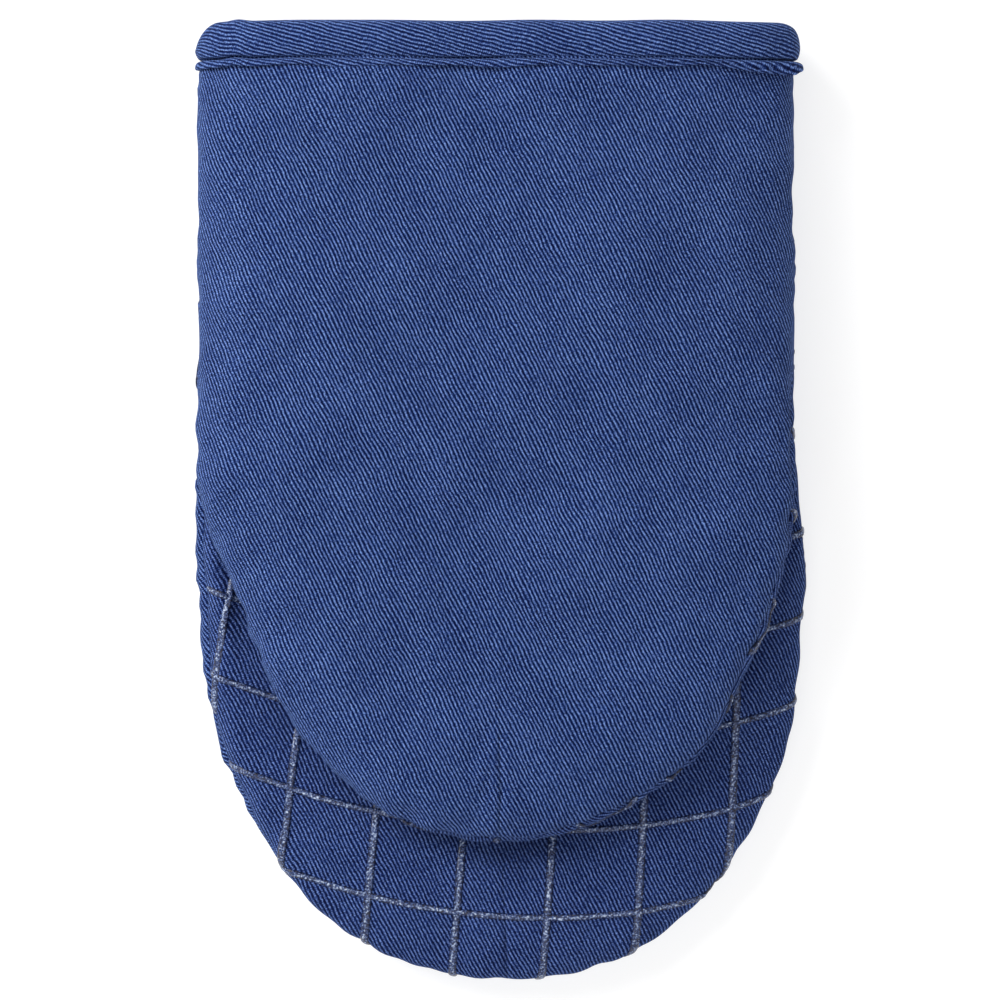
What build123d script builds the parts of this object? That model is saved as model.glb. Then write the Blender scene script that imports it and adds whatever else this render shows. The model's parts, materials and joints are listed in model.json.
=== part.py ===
"""Mini oven mitt, built as its separate sewn pieces. Millimetres, one STEP file for each piece.

The mitt lies on its back on a table: the cuff points to +Y, the finger half lies below and the shorter
thumb half lies on it. The two halves part like a mouth about the fold of the grip panel, which is the
hinge. Every padded wall is a sandwich of a twill shell, a batting and a lining. The origin is the middle
of the mitt's box, at table height.
"""

import os

from build123d import *

# Overall size
MITT_LENGTH = 217.0
MITT_WIDTH = 136.0
FINGER_TIP_Y = -MITT_LENGTH / 2
CUFF_Y = MITT_LENGTH / 2
THUMB_TIP_Y = -76.6
CROTCH_Y = 44.0

# Layers of a padded wall, from the outside in
TWILL = 0.6
BATTING = 2.75
LINING = 0.45
LAYER_GAP = 0.05
WALL = TWILL + BATTING + LINING + 2 * LAYER_GAP

# Heights
POCKET_HEIGHT = 8.0
HALF_HEIGHT = 2 * WALL + POCKET_HEIGHT
MOUTH_GAP = 1.6
TOTAL_HEIGHT = 2 * HALF_HEIGHT + MOUTH_GAP
HINGE_Z = HALF_HEIGHT + MOUTH_GAP / 2
FINGER_SEAM_Z = HALF_HEIGHT / 2
THUMB_BOTTOM_Z = HALF_HEIGHT + MOUTH_GAP
THUMB_SEAM_Z = THUMB_BOTTOM_Z + HALF_HEIGHT / 2
EDGE_RADIUS = 7.5

# Outlines: straight sides down to the shoulder, then a half ellipse
HALF_WIDTH = MITT_WIDTH / 2
FINGER_SHOULDER_Y = -13.6
THUMB_SHOULDER_Y = 21.3

# Binding folded over the raw edge of the cuff
BINDING_WIDTH = 10.3
BINDING_THICKNESS = 0.7
HEM_Y = CUFF_Y - BINDING_WIDTH
RAW_EDGE_Y = CUFF_Y - 0.9
HEM_STEP = 0.6
HEM_BATTING = 1.25
THREAD_GROOVE_Y = HEM_Y + 2.2
THREAD_WIDTH = 0.6
THREAD_DEPTH = 0.35

# Hinge clearances
CREASE_LENGTH = TOTAL_HEIGHT - HINGE_Z + 0.6
HINGE_GAP = 0.3
FOLD_HALF_LENGTH = HALF_WIDTH - WALL - 0.1
ROOT_LENGTH = 20.0

# Silicone lines printed on both faces of the mouth
GRID_PITCH = 20.0
GRID_LINE_WIDTH = 1.5
GRID_HEIGHT = 0.5
GRID_TILT = 4.3
GRID_ORIGIN = (14.5, -94.0)
GRID_REACH = 9

# Sewing thread, laid as a flat strip just inside the shells
THREAD = 0.5
THREAD_INSET = TWILL + LAYER_GAP
END_GAP = 1.0

BIG = 400.0


def between(axis, low, high):
    """A slab of space between two heights along one axis."""
    size = [BIG, BIG, BIG]
    middle = [0, 0, 0]
    size[axis] = high - low
    middle[axis] = (low + high) / 2
    return Pos(*middle) * Box(*size)


def y_between(low, high):
    return between(1, low, high)


def z_between(low, high):
    return between(2, low, high)


def tongue_outline(half_width, root_y, shoulder_y, tip_y):
    """A closed outline with straight sides and a half-elliptical tip that points to -Y."""
    tip_length = shoulder_y - tip_y
    tip = EllipticalCenterArc((0, shoulder_y), half_width, tip_length, start_angle=180, arc_size=180)
    sides = Polyline(
        (half_width, shoulder_y), (half_width, root_y), (-half_width, root_y), (-half_width, shoulder_y)
    )
    return make_face([tip, *sides.edges()])


def tongue(inset, shoulder_y, tip_y, bottom_z, top_z):
    """A padded half with its faces moved in by inset: round-edged, and running on past the crotch."""
    root_y = CROTCH_Y + ROOT_LENGTH
    outline = tongue_outline(HALF_WIDTH - inset, root_y, shoulder_y, tip_y + inset)
    low, high = bottom_z + inset, top_z - inset
    body = extrude(Pos(0, 0, low) * outline, amount=high - low)
    rims = [
        e
        for e in body.edges()
        if abs(e.center().Z - low) < 1e-3 or abs(e.center().Z - high) < 1e-3
    ]
    rims = [e for e in rims if abs(e.center().Y - root_y) > 1e-3]
    return fillet(rims, EDGE_RADIUS - inset)


def finger_tongue(inset):
    return tongue(inset, FINGER_SHOULDER_Y, FINGER_TIP_Y, 0, HALF_HEIGHT)


def thumb_tongue(inset):
    return tongue(inset, THUMB_SHOULDER_Y, THUMB_TIP_Y, THUMB_BOTTOM_Z, TOTAL_HEIGHT)


def tube(inset, low_y, high_y):
    """The cuff's rounded rectangular section with its faces moved in by inset, from low_y to high_y."""
    section = RectangleRounded(2 * (HALF_WIDTH - inset), TOTAL_HEIGHT - 2 * inset, EDGE_RADIUS - inset)
    start = Plane(origin=(0, low_y, TOTAL_HEIGHT / 2), x_dir=(1, 0, 0), z_dir=(0, 1, 0))
    return extrude(start * section, amount=high_y - low_y)


def tube_wall(outer, inner, low_y, high_y):
    """The ring of the cuff between two insets."""
    return tube(outer, low_y, high_y) - tube(inner, low_y - 1, high_y + 1)


# Insets of the faces of each layer, in the plain wall and under the binding
SHELL_IN = TWILL
BATTING_OUT = SHELL_IN + LAYER_GAP
BATTING_IN = BATTING_OUT + BATTING
LINING_OUT = BATTING_IN + LAYER_GAP
LINING_IN = LINING_OUT + LINING
HEM_SHELL_OUT = BINDING_THICKNESS + LAYER_GAP
HEM_SHELL_IN = HEM_SHELL_OUT + TWILL
HEM_BATTING_OUT = HEM_SHELL_IN + LAYER_GAP
HEM_BATTING_IN = HEM_BATTING_OUT + HEM_BATTING
HEM_LINING_OUT = HEM_BATTING_IN + LAYER_GAP
HEM_LINING_IN = HEM_LINING_OUT + LINING
BINDING_INNER_OUT = HEM_LINING_IN + LAYER_GAP
BINDING_IN = BINDING_INNER_OUT + BINDING_THICKNESS


def cuff_shell(low_y):
    """Twill of the cuff, stepped in where the binding covers it."""
    plain = tube_wall(0, SHELL_IN, low_y, HEM_Y)
    step = tube_wall(0, HEM_SHELL_IN, HEM_Y - HEM_STEP, HEM_Y)
    hem = tube_wall(HEM_SHELL_OUT, HEM_SHELL_IN, HEM_Y, RAW_EDGE_Y)
    return plain + step + hem


def cuff_batting(low_y):
    """Batting of the cuff, pressed thin under the binding."""
    plain_end = HEM_Y - HEM_STEP - LAYER_GAP
    plain = tube_wall(BATTING_OUT, BATTING_IN, low_y, plain_end)
    hem = tube_wall(HEM_BATTING_OUT, HEM_BATTING_IN, plain_end, RAW_EDGE_Y)
    return plain + hem


def cuff_lining(low_y):
    """Lining of the cuff, stepped out where the binding covers it."""
    plain = tube_wall(LINING_OUT, LINING_IN, low_y, HEM_Y)
    step = tube_wall(HEM_LINING_OUT, LINING_IN, HEM_Y - HEM_STEP, HEM_Y)
    hem = tube_wall(HEM_LINING_OUT, HEM_LINING_IN, HEM_Y, RAW_EDGE_Y)
    return plain + step + hem


CUFF_LAYERS = {"shell": cuff_shell, "batting": cuff_batting, "lining": cuff_lining}
LAYER_INSETS = {
    "shell": (0, SHELL_IN),
    "batting": (BATTING_OUT, BATTING_IN),
    "lining": (LINING_OUT, LINING_IN),
}


def strip_along(shoulder_y, tip_y, seam_z, clearance):
    """The U-shaped strip of thread that sews the two walls of a half together."""
    outer = THREAD_INSET - clearance
    inner = THREAD_INSET + THREAD + clearance
    low, high = seam_z - THREAD / 2 - clearance, seam_z + THREAD / 2 + clearance
    root_y = CROTCH_Y + ROOT_LENGTH
    ring = tongue_outline(HALF_WIDTH - outer, root_y, shoulder_y, tip_y + outer)
    ring -= tongue_outline(HALF_WIDTH - inner, root_y + 1, shoulder_y, tip_y + inner)
    return extrude(Pos(0, 0, low) * ring, amount=high - low)


def side_seam_strips(clearance):
    """The two straight strips of thread that close the sides of the cuff."""
    thick = THREAD + 2 * clearance
    length = HEM_Y - HEM_STEP - CROTCH_Y - 2 * END_GAP + 2 * clearance
    middle_y = (CROTCH_Y + HEM_Y - HEM_STEP) / 2
    x = HALF_WIDTH - THREAD_INSET - THREAD / 2
    strips = [Pos(side * x, middle_y, TOTAL_HEIGHT / 2) * Box(thick, length, thick) for side in (-1, 1)]
    return Compound(children=strips)


def silicone_grid(shoulder_y, tip_y, low_z):
    """The raised lines of the printed pattern, on the flat part of one face of the mouth."""
    root_y = CROTCH_Y - END_GAP
    flat_part = tongue_outline(HALF_WIDTH - EDGE_RADIUS, root_y, shoulder_y, tip_y + EDGE_RADIUS)
    face = extrude(Pos(0, 0, low_z) * flat_part, amount=GRID_HEIGHT)
    bars = []
    for k in range(-GRID_REACH, GRID_REACH + 1):
        bars.append(Pos(k * GRID_PITCH, 0, low_z) * Box(GRID_LINE_WIDTH, BIG, 4 * GRID_HEIGHT))
        bars.append(Pos(0, k * GRID_PITCH, low_z) * Box(BIG, GRID_LINE_WIDTH, 4 * GRID_HEIGHT))
    pattern = bars[0].fuse(*bars[1:])
    return face & (Pos(*GRID_ORIGIN, 0) * Rot(0, 0, -GRID_TILT) * pattern)


def half_ring(inner, outer):
    """Half a round sleeve about the hinge line, on the cuff's side."""
    lying = Pos(0, CROTCH_Y, HINGE_Z) * Rot(0, 90, 0)
    ring = lying * Cylinder(outer, 2 * FOLD_HALF_LENGTH) - lying * Cylinder(inner, BIG)
    return ring & y_between(CROTCH_Y, BIG / 2)


def back_and_finger_pieces():
    """The back wall from cuff to fingertips, the finger half's grip wall and the cuff's front wall."""
    pieces = {}
    seam = strip_along(FINGER_SHOULDER_Y, FINGER_TIP_Y, FINGER_SEAM_Z, LAYER_GAP)
    side_seams = side_seam_strips(LAYER_GAP)
    for layer, (outer, inner) in LAYER_INSETS.items():
        half = (finger_tongue(outer) - finger_tongue(inner)) & y_between(-BIG / 2, CROTCH_Y)
        cuff = CUFF_LAYERS[layer](CROTCH_Y)
        if layer == "batting":
            half -= seam
            for strip in side_seams.solids():
                cuff -= strip
        finger_back = half & z_between(-1, FINGER_SEAM_Z)
        cuff_back = cuff & z_between(-1, TOTAL_HEIGHT / 2)
        pieces["back_" + layer] = finger_back + cuff_back
        pieces["finger_grip_" + layer] = half & z_between(FINGER_SEAM_Z, HALF_HEIGHT + 1)
        cuff_front = cuff & z_between(TOTAL_HEIGHT / 2, TOTAL_HEIGHT + 1)
        crease_end = CROTCH_Y + CREASE_LENGTH
        pieces["cuff_front_" + layer] = cuff_front & y_between(crease_end, BIG / 2)
        pieces["thumb_crease_" + layer] = cuff_front & y_between(CROTCH_Y, crease_end)
    return pieces


def thumb_pieces():
    """The thumb half's outer wall and grip wall."""
    pieces = {}
    seam = strip_along(THUMB_SHOULDER_Y, THUMB_TIP_Y, THUMB_SEAM_Z, LAYER_GAP)
    for layer, (outer, inner) in LAYER_INSETS.items():
        half = (thumb_tongue(outer) - thumb_tongue(inner)) & y_between(-BIG / 2, CROTCH_Y - HINGE_GAP)
        if layer == "batting":
            half -= seam
        pieces["thumb_" + layer] = half & z_between(THUMB_SEAM_Z, TOTAL_HEIGHT + 1)
        pieces["thumb_grip_" + layer] = half & z_between(THUMB_BOTTOM_Z - 1, THUMB_SEAM_Z)
    return pieces


def crotch_fold_pieces():
    """The turn of the grip panel at the back of the mouth: three layers about the hinge line."""
    pieces = {}
    for layer, (outer, inner) in LAYER_INSETS.items():
        pieces["crotch_fold_" + layer] = half_ring(outer + MOUTH_GAP / 2, inner + MOUTH_GAP / 2)
    return pieces


def binding_pieces():
    """The bias strip folded over the cuff's raw edge, and the row of thread that holds it."""
    outer_leg = tube_wall(0, BINDING_THICKNESS, HEM_Y, CUFF_Y)
    inner_leg = tube_wall(BINDING_INNER_OUT, BINDING_IN, HEM_Y, CUFF_Y)
    turn = tube_wall(0, BINDING_IN, RAW_EDGE_Y + LAYER_GAP, CUFF_Y)
    low, high = THREAD_GROOVE_Y, THREAD_GROOVE_Y + THREAD_WIDTH
    groove = tube(-1, low, high) - tube(THREAD_DEPTH, low, high)
    thread = tube_wall(LAYER_GAP / 2, THREAD_DEPTH - LAYER_GAP / 2, low + LAYER_GAP, high - LAYER_GAP)
    return {"cuff_binding": outer_leg + inner_leg + turn - groove, "binding_thread": thread}


def seam_pieces():
    """The threads inside the seams."""
    finger = strip_along(FINGER_SHOULDER_Y, FINGER_TIP_Y, FINGER_SEAM_Z, 0)
    thumb = strip_along(THUMB_SHOULDER_Y, THUMB_TIP_Y, THUMB_SEAM_Z, 0)
    return {
        "finger_seam_thread": finger & y_between(-BIG / 2, CROTCH_Y - END_GAP),
        "thumb_seam_thread": thumb & y_between(-BIG / 2, CROTCH_Y - END_GAP),
        "side_seam_threads": side_seam_strips(0),
    }


def silicone_pieces():
    """The printed grid on the finger face and on the thumb face of the mouth."""
    return {
        "finger_silicone_grid": silicone_grid(FINGER_SHOULDER_Y, FINGER_TIP_Y, HALF_HEIGHT),
        "thumb_silicone_grid": silicone_grid(THUMB_SHOULDER_Y, THUMB_TIP_Y, THUMB_BOTTOM_Z - GRID_HEIGHT),
    }


def main():
    os.makedirs("parts", exist_ok=True)
    pieces = {
        **back_and_finger_pieces(),
        **thumb_pieces(),
        **crotch_fold_pieces(),
        **binding_pieces(),
        **seam_pieces(),
        **silicone_pieces(),
    }
    for name, shape in pieces.items():
        export_step(Compound(children=shape.solids()), f"parts/{name}.step")
        print(name, "solids", len(shape.solids()), "volume", round(shape.volume, 1))


main()
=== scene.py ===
# %% [markdown]
# # A padded mini oven mitt
# A mini mitt opens like a mouth. The long finger half lies on the table, the shorter thumb half lies on
# it, and both open into one sleeve with a bound cuff. Each wall is a sandwich of blue twill, batting and
# lining. This lesson sews it from its panels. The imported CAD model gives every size, and each cloth panel
# here takes the place of the plain solid that stands for it.

# %% Load the frame
import json
import math

import bmesh
import bpy
import numpy as np
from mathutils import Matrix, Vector
from mathutils.bvhtree import BVHTree
from mathutils.interpolate import poly_3d_calc

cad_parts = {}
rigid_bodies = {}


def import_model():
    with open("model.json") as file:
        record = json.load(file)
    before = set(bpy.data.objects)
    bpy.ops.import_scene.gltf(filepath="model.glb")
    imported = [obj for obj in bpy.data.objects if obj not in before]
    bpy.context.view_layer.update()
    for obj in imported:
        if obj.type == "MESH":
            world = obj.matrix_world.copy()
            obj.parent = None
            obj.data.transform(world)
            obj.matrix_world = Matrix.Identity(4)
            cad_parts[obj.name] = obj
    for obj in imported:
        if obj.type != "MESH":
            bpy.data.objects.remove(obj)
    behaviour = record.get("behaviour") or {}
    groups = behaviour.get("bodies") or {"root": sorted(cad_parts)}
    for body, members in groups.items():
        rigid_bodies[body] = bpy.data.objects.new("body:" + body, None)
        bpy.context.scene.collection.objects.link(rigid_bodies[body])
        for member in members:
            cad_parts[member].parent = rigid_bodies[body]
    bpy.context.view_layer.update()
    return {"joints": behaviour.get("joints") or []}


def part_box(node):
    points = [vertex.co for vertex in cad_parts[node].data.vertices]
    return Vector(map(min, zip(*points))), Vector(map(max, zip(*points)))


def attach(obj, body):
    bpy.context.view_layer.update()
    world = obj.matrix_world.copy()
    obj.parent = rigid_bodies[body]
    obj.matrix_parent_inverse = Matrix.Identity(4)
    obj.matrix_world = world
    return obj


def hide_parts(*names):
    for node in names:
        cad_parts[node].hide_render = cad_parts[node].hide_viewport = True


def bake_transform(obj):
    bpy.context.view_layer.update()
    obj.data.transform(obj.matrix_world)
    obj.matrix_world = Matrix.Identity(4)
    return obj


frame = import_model()
ROOT = frame["joints"][0]["parent"]

# %% [markdown]
# ## Driving sizes
# Everything is worked out in millimetres from the CAD nodes' boxes, and turned into metres when a mesh is
# made. Typed sizes would work too, but they would stay behind when the CAD model changes. The hinge line is
# the fold of the grip panel, where the two halves meet the sleeve.

# %% Sizes from the frame
MM = 0.001


def node_range(node, axis):
    """The lowest and highest place of a CAD node along one axis, in millimetres."""
    low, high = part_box(node)
    return low[axis] / MM, high[axis] / MM


CUFF_Y = node_range("cuff_binding", 1)[1]
HEM_Y = node_range("cuff_binding", 1)[0]
FINGER_TIP_Y = node_range("back_shell", 1)[0]
THUMB_TIP_Y = node_range("thumb_shell", 1)[0]
HALF_WIDTH = node_range("back_shell", 0)[1]
TOP_Z = node_range("thumb_shell", 2)[1]
FINGER_TOP_Z = node_range("finger_grip_shell", 2)[1]
THUMB_BOTTOM_Z = node_range("thumb_grip_shell", 2)[0]
CROTCH_Y = frame["joints"][0]["pos_m"][1] / MM
HINGE_Z = frame["joints"][0]["pos_m"][2] / MM
FINGER_SEAM_Z = FINGER_TOP_Z / 2
THUMB_SEAM_Z = THUMB_BOTTOM_Z + 3.4
CUFF_SEAM_Z = 14.2
FINGER_SHOULDER_Y = -13.6
THUMB_SHOULDER_Y = 21.5
TWILL = 0.6
BATTING_FROM, BATTING_TO = 0.65, 3.35
LINING_FROM, LINING_TO = 3.4, 3.85
FLOOR_CLEARANCE = 0.05
print("cuff", CUFF_Y, "crotch", CROTCH_Y, "tips", FINGER_TIP_Y, THUMB_TIP_Y, "top", TOP_Z)

# %% [markdown]
# ## Small curves that shape cloth
# Cloth edges wander and its faces roll gently. A few helpers give soft steps, soft bumps and a ripple
# that is the same on every run, because its waves come from a seeded generator.


# %% Soft steps, bumps and ripples
def soft_step(value, start, end):
    """0 before start, 1 after end and a smooth rise between them."""
    t = np.clip((value - start) / (end - start), 0, 1)
    return t * t * (3 - 2 * t)


def soft_bump(value, centre, width):
    return np.exp(-(((value - centre) / width) ** 2))


def ripple(x, y, wavelength, seed, waves=7):
    """A smooth random surface of about unit height, made of a few slanting waves."""
    dice = np.random.RandomState(seed)
    total = 0
    for _ in range(waves):
        angle = dice.uniform(0, 2 * math.pi)
        length = wavelength * dice.uniform(0.7, 1.5)
        shift = dice.uniform(0, 2 * math.pi)
        along = x * math.cos(angle) + y * math.sin(angle)
        total = total + np.sin(2 * math.pi * along / length + shift)
    return total / math.sqrt(waves)


# %% [markdown]
# ## The outline of each half
# Seen from above the sleeve has nearly straight sides, and each half ends in a curve between an ellipse
# and a rounded rectangle. One superellipse makes that curve, and its power sets how square it is. The
# halves are cut alike left and right, but the sewn mitt is a little uneven, so each side has its own width
# and its own slow drift. A traced curve would do as well, but a rule can be used again at another size.


# %% Outlines
def sleeve_reach(side, y):
    """How far the sleeve and the root of the halves reach to one side."""
    if side < 0:
        flank = 1.1 * soft_step(-y, -10, -3) * soft_step(y, -26, -8)
        return HALF_WIDTH - 0.2 + 0.12 * np.sin(y / 7.0) - 0.15 * soft_bump(y, 37, 5) + flank
    bulge = 3.0 * soft_step(-y, -17, 12)
    return HALF_WIDTH - 1.7 + bulge + 0.12 * np.sin(y / 6.0) - 0.35 * soft_bump(y, CROTCH_Y, 2.5)


def finger_drift(side, y):
    """The finger half leans a little to the right towards its tip, and bulges on its left flank."""
    if side < 0:
        bulge = -1.7 * soft_bump(y, -52, 15)
    else:
        bulge = 0.7 * soft_bump(y, -54, 8) - 0.7 * soft_bump(y, -36, 8)
    return 0.8 * soft_step(-y, 20, 50) + 1.2 * soft_step(-y, 80, 108) + bulge


def thumb_drift(side, y):
    """The thumb half is slimmer on its left flank and fuller on its right."""
    if side < 0:
        return 3.4 * soft_bump(y, -27, 20)
    return 2.3 * soft_bump(y, -58, 12) - 0.6 * soft_bump(y, -20, 14)


FINGER_HALF = {
    "shoulder": FINGER_SHOULDER_Y, "tip": FINGER_TIP_Y, "power": 2.22, "drift": finger_drift, "seed": 3,
}
THUMB_HALF = {
    "shoulder": THUMB_SHOULDER_Y, "tip": THUMB_TIP_Y, "power": 2.05, "drift": thumb_drift, "seed": 8,
}
MIDDLE_SHORT_OF_TIP = 38.0
EDGE_WANDER, EDGE_WAVE = 0.16, 17
SLEEVE_SEED = 5


def rows_of(half, start_y, spacing):
    """One (height of the cut, turn round the tip) for each row of cloth from start_y to the tip."""
    straight = max(2, round((start_y - half["shoulder"]) / spacing))
    rows = [(y, 0.0) for y in np.linspace(start_y, half["shoulder"], straight + 1)]
    turn = np.linspace(0, math.pi / 2, 400)
    x = HALF_WIDTH * np.cos(turn) ** (2 / half["power"])
    y = (half["shoulder"] - half["tip"]) * np.sin(turn) ** (2 / half["power"])
    length = np.concatenate([[0], np.cumsum(np.hypot(np.diff(x), np.diff(y)))])
    count = round(length[-1] / spacing)
    for s in np.linspace(0, length[-1], count + 1)[1:]:
        theta = float(np.interp(s, length, turn))
        rows.append((half["shoulder"] - float(np.interp(s, length, y)), theta))
    return rows


def edge_and_middle(half, side, y, turn):
    """The point on the outline and the point on the middle line that one row of cloth runs between."""
    full = sleeve_reach(side, y) * math.cos(turn) ** (2 / half["power"])
    lean = half["drift"](side, y) * soft_step(half["shoulder"] + 12 - y, 0, 25)
    own = soft_step(CROTCH_Y - y, 4, 24)
    spot = np.array([y]), np.array([side * 40.0])
    shared_wave = ripple(*spot, EDGE_WAVE, SLEEVE_SEED)[0]
    own_wave = ripple(*spot, EDGE_WAVE, half["seed"])[0]
    wander = EDGE_WANDER * (shared_wave * (1 - own) + own_wave * own)
    fade = math.cos(turn) ** 0.5
    tip_lean = half["drift"](1, y) * (1 - fade)
    edge = np.array([side * (full + wander * fade) + lean * fade + tip_lean, y])
    middle_y = y
    if turn > 0:
        reach = half["shoulder"] - half["tip"] - MIDDLE_SHORT_OF_TIP
        middle_y = half["shoulder"] - reach * turn / (math.pi / 2)
    return edge, np.array([half["drift"](1, middle_y) * 0.5, middle_y])


# %% [markdown]
# ## Heights
# The finger half's seam runs at mid-thickness, and on its left flank the seam has rolled a little way onto
# the grip face. The thumb half lies on the finger half, so its seam sits low, close to the face below, and
# its outer face makes nearly the whole roll. At the crotch the two seams rise and fall to meet the side
# seam of the sleeve, so the flanks of the grip panel taper away there.


# %% Seam and face heights
def sleeve_seam_z(y):
    return HINGE_Z + (CUFF_SEAM_Z - HINGE_Z) * soft_step(y, CROTCH_Y, CUFF_Y)


def finger_seam_z(y):
    fall = soft_step(CROTCH_Y - y, 0, 44)
    return sleeve_seam_z(y) + (FINGER_SEAM_Z - HINGE_Z) * fall


def thumb_seam_z(y):
    rise = soft_step(CROTCH_Y - y, 0, 44)
    return sleeve_seam_z(y) + (THUMB_SEAM_Z - HINGE_Z) * rise


def front_z(y):
    """The top of the front panel: highest over the crotch, lower at the cuff and the thumb's tip."""
    sleeve = -4.6 * soft_step(y, CROTCH_Y - 10, CUFF_Y)
    return TOP_Z - 0.6 + sleeve - 2.0 * soft_step(-y, -30, 70)


def finger_top_z(y):
    return FINGER_TOP_Z - 0.2 - 0.8 * soft_step(-y, 60, 105)


def thumb_bottom_z(y):
    return THUMB_BOTTOM_Z + 0.2


def back_z(y):
    return FLOOR_CLEARANCE


FACES = {
    "back": {"z": back_z, "up": -1, "round": 24.0, "power": 2.7},
    "front": {"z": front_z, "up": 1, "round": 58.0, "power": 2.85},
    "finger_grip": {"z": finger_top_z, "up": 1, "round": 40.0, "power": 2.6},
    "thumb_grip": {"z": thumb_bottom_z, "up": -1, "round": 24.0, "power": 2.6},
}


def finger_seam_inset(side, y, turn):
    """How far the finger half's seam lies inside its outline on the grip face. Minus is on the back."""
    near_crotch = soft_step(CROTCH_Y - y, 8, 34)
    if side < 0:
        rolled = 1.0 + 1.0 * soft_step(y, -40, -5) + 0.3 * np.sin(y / 7.0)
        return near_crotch * rolled * (1 - soft_step(turn, 0.3, 0.9)) - 0.15 * soft_step(turn, 0.5, 1)
    return near_crotch * -0.35


def thumb_seam_inset(side, y, turn):
    """How far the thumb half's seam lies inside its outline on the outer face."""
    near_crotch = soft_step(CROTCH_Y - y, 8, 34)
    tip = 0.55 * soft_step(turn, 0.9, 1.5)
    if side > 0:
        return near_crotch * (0.65 + 0.25 * np.sin(y / 7.0)) * (1 - soft_step(turn, 1.2, 1.5)) + tip
    return near_crotch * -0.5 * (1 - soft_step(turn, 1.0, 1.5)) + tip


# %% [markdown]
# ## The section of a padded edge
# Across each row the cloth leaves the seam, rolls round the edge and runs to the middle of the panel. A
# squarish ellipse gives that roll. Its points are laid out again by length, closer near the seam, and the
# length itself is what the flat pattern measures, so the weave never stretches over the edge.


# %% Section of a row
def quarter(face, edge_z, y, reach, inset, count=48):
    """The roll of one face from the edge to the middle line, as (distance in, height)."""
    phi = np.linspace(0, math.pi / 2, count)
    wide = min(face["round"], 0.93 * reach) - inset
    tall = face["z"](y) - face["up"] * inset - edge_z
    d = inset + wide * (1 - np.cos(phi) ** (2 / face["power"]))
    z = edge_z + tall * np.sin(phi) ** (2 / face["power"])
    return np.append(d, reach), np.append(z, z[-1])


def row_section(face, other, seam_inset, edge_z, y, reach, inset, shares):
    """One row from the seam to the middle: distances in, heights, and lengths left to the middle."""
    d, z = quarter(face, edge_z, y, reach, inset)
    if seam_inset > 0:
        cut = float(np.interp(seam_inset + inset, d, z))
        keep = d > seam_inset + inset + 1e-4
        d = np.concatenate([[seam_inset + inset], d[keep]])
        z = np.concatenate([[cut], z[keep]])
    elif seam_inset < 0:
        d2, z2 = quarter(other, edge_z, y, reach, inset)
        cut = float(np.interp(inset - seam_inset, d2, z2))
        keep = (d2 < inset - seam_inset - 1e-4) & (d2 > inset + 1e-6)
        d = np.concatenate([[inset - seam_inset], d2[keep][::-1], d])
        z = np.concatenate([[cut], z2[keep][::-1], z])
    length = np.concatenate([[0], np.cumsum(np.hypot(np.diff(d), np.diff(z)))])
    at = shares * length[-1]
    return np.interp(at, length, d), np.interp(at, length, z), length[-1] - at


# %% [markdown]
# ## A grid of cloth
# A panel is a grid: one row for each height of the cut, from the left seam through the middle line to the
# right seam. Round the tip the rows fan out, and the last one folds onto itself, so its two sides are
# merged. The same call with an inset gives the next layer in, nested like the layers of an onion. The
# inner layers are trimmed back from the seam, as a sewer trims batting so that the edge stays thin. A
# sculpted block would look the same from outside, but it has no layers and no flat pattern.

# %% Grid of cloth
HEM_SINK = 0.9
HEM_SQUEEZE = 0.42
TRIMMED = 1.3
CORNER_RADIUS = 4.6
CORNER_FALL = 3.6


def layer_inset(inset, y):
    """Under the binding the layers are pressed together and sink a little."""
    hem = float(soft_step(y, HEM_Y - 2.5, HEM_Y + 1))
    return inset + hem * (HEM_SINK - HEM_SQUEEZE * inset)


def corner_drop(x, y):
    """The cuff's corners turn down towards the side seams."""
    side = np.clip((np.abs(x) - (HALF_WIDTH - CORNER_RADIUS)) / CORNER_RADIUS, 0, 1)
    return CORNER_FALL * (1 - np.sqrt(np.clip(1 - side**2, 0, 1))) * soft_step(y, HEM_Y - 2, CUFF_Y)


def graded_shares(count, grade=1.3):
    """Shares of a row's length at its points: short steps at the seam and longer ones towards the middle."""
    j = np.linspace(0, 1, count + 1)
    return (np.exp(grade * j) - 1) / (math.exp(grade) - 1)


def cloth_grid(half, face_name, other_name, seam_z, seam_inset, start_y, inset, spacing, count):
    """Corner points, flat-pattern places and distance from the seam for one layer of one panel."""
    face, other = FACES[face_name], FACES[other_name]
    shares = graded_shares(count)
    points, flat, from_seam = [], [], []
    for y, turn in rows_of(half, start_y, spacing):
        sides = []
        for side in (-1, 1):
            edge, middle = edge_and_middle(half, side, y, turn)
            reach = float(np.hypot(*(middle - edge)))
            inward = (middle - edge) / reach
            rolled = float(seam_inset(side, y, turn)) if y < CROTCH_Y else 0.0
            trimmed = TRIMMED * float(soft_step(CROTCH_Y - y, -6, 4)) if inset > TWILL else 0.0
            depth = layer_inset(inset, y)
            edge_z = float(seam_z(y))
            if inset and y < CROTCH_Y + 1:
                limit = face["z"](y) - face["up"] * (depth + 0.2)
                edge_z = min(edge_z, limit) if face["up"] > 0 else max(edge_z, limit)
            whole = row_section(face, other, rolled, edge_z, y, reach, depth, shares)[2][0]
            d, z, length = row_section(face, other, rolled + trimmed, edge_z, y, reach, depth, shares)
            xy = edge + np.outer(d, inward)
            uv = middle - np.outer(length, inward)
            sides.append((np.column_stack([xy, z]), uv, whole - length + inset))
        left, right = sides
        points.append(np.vstack([left[0], right[0][-2::-1]]))
        flat.append(np.vstack([left[1], right[1][-2::-1]]))
        from_seam.append(np.concatenate([left[2], right[2][-2::-1]]))
    points, flat = np.array(points), np.array(flat)
    points[..., 1] -= corner_drop(points[..., 0], points[..., 1])
    if face["up"] < 0:
        flat[..., 0] *= -1
    return points, flat, np.array(from_seam)


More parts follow.
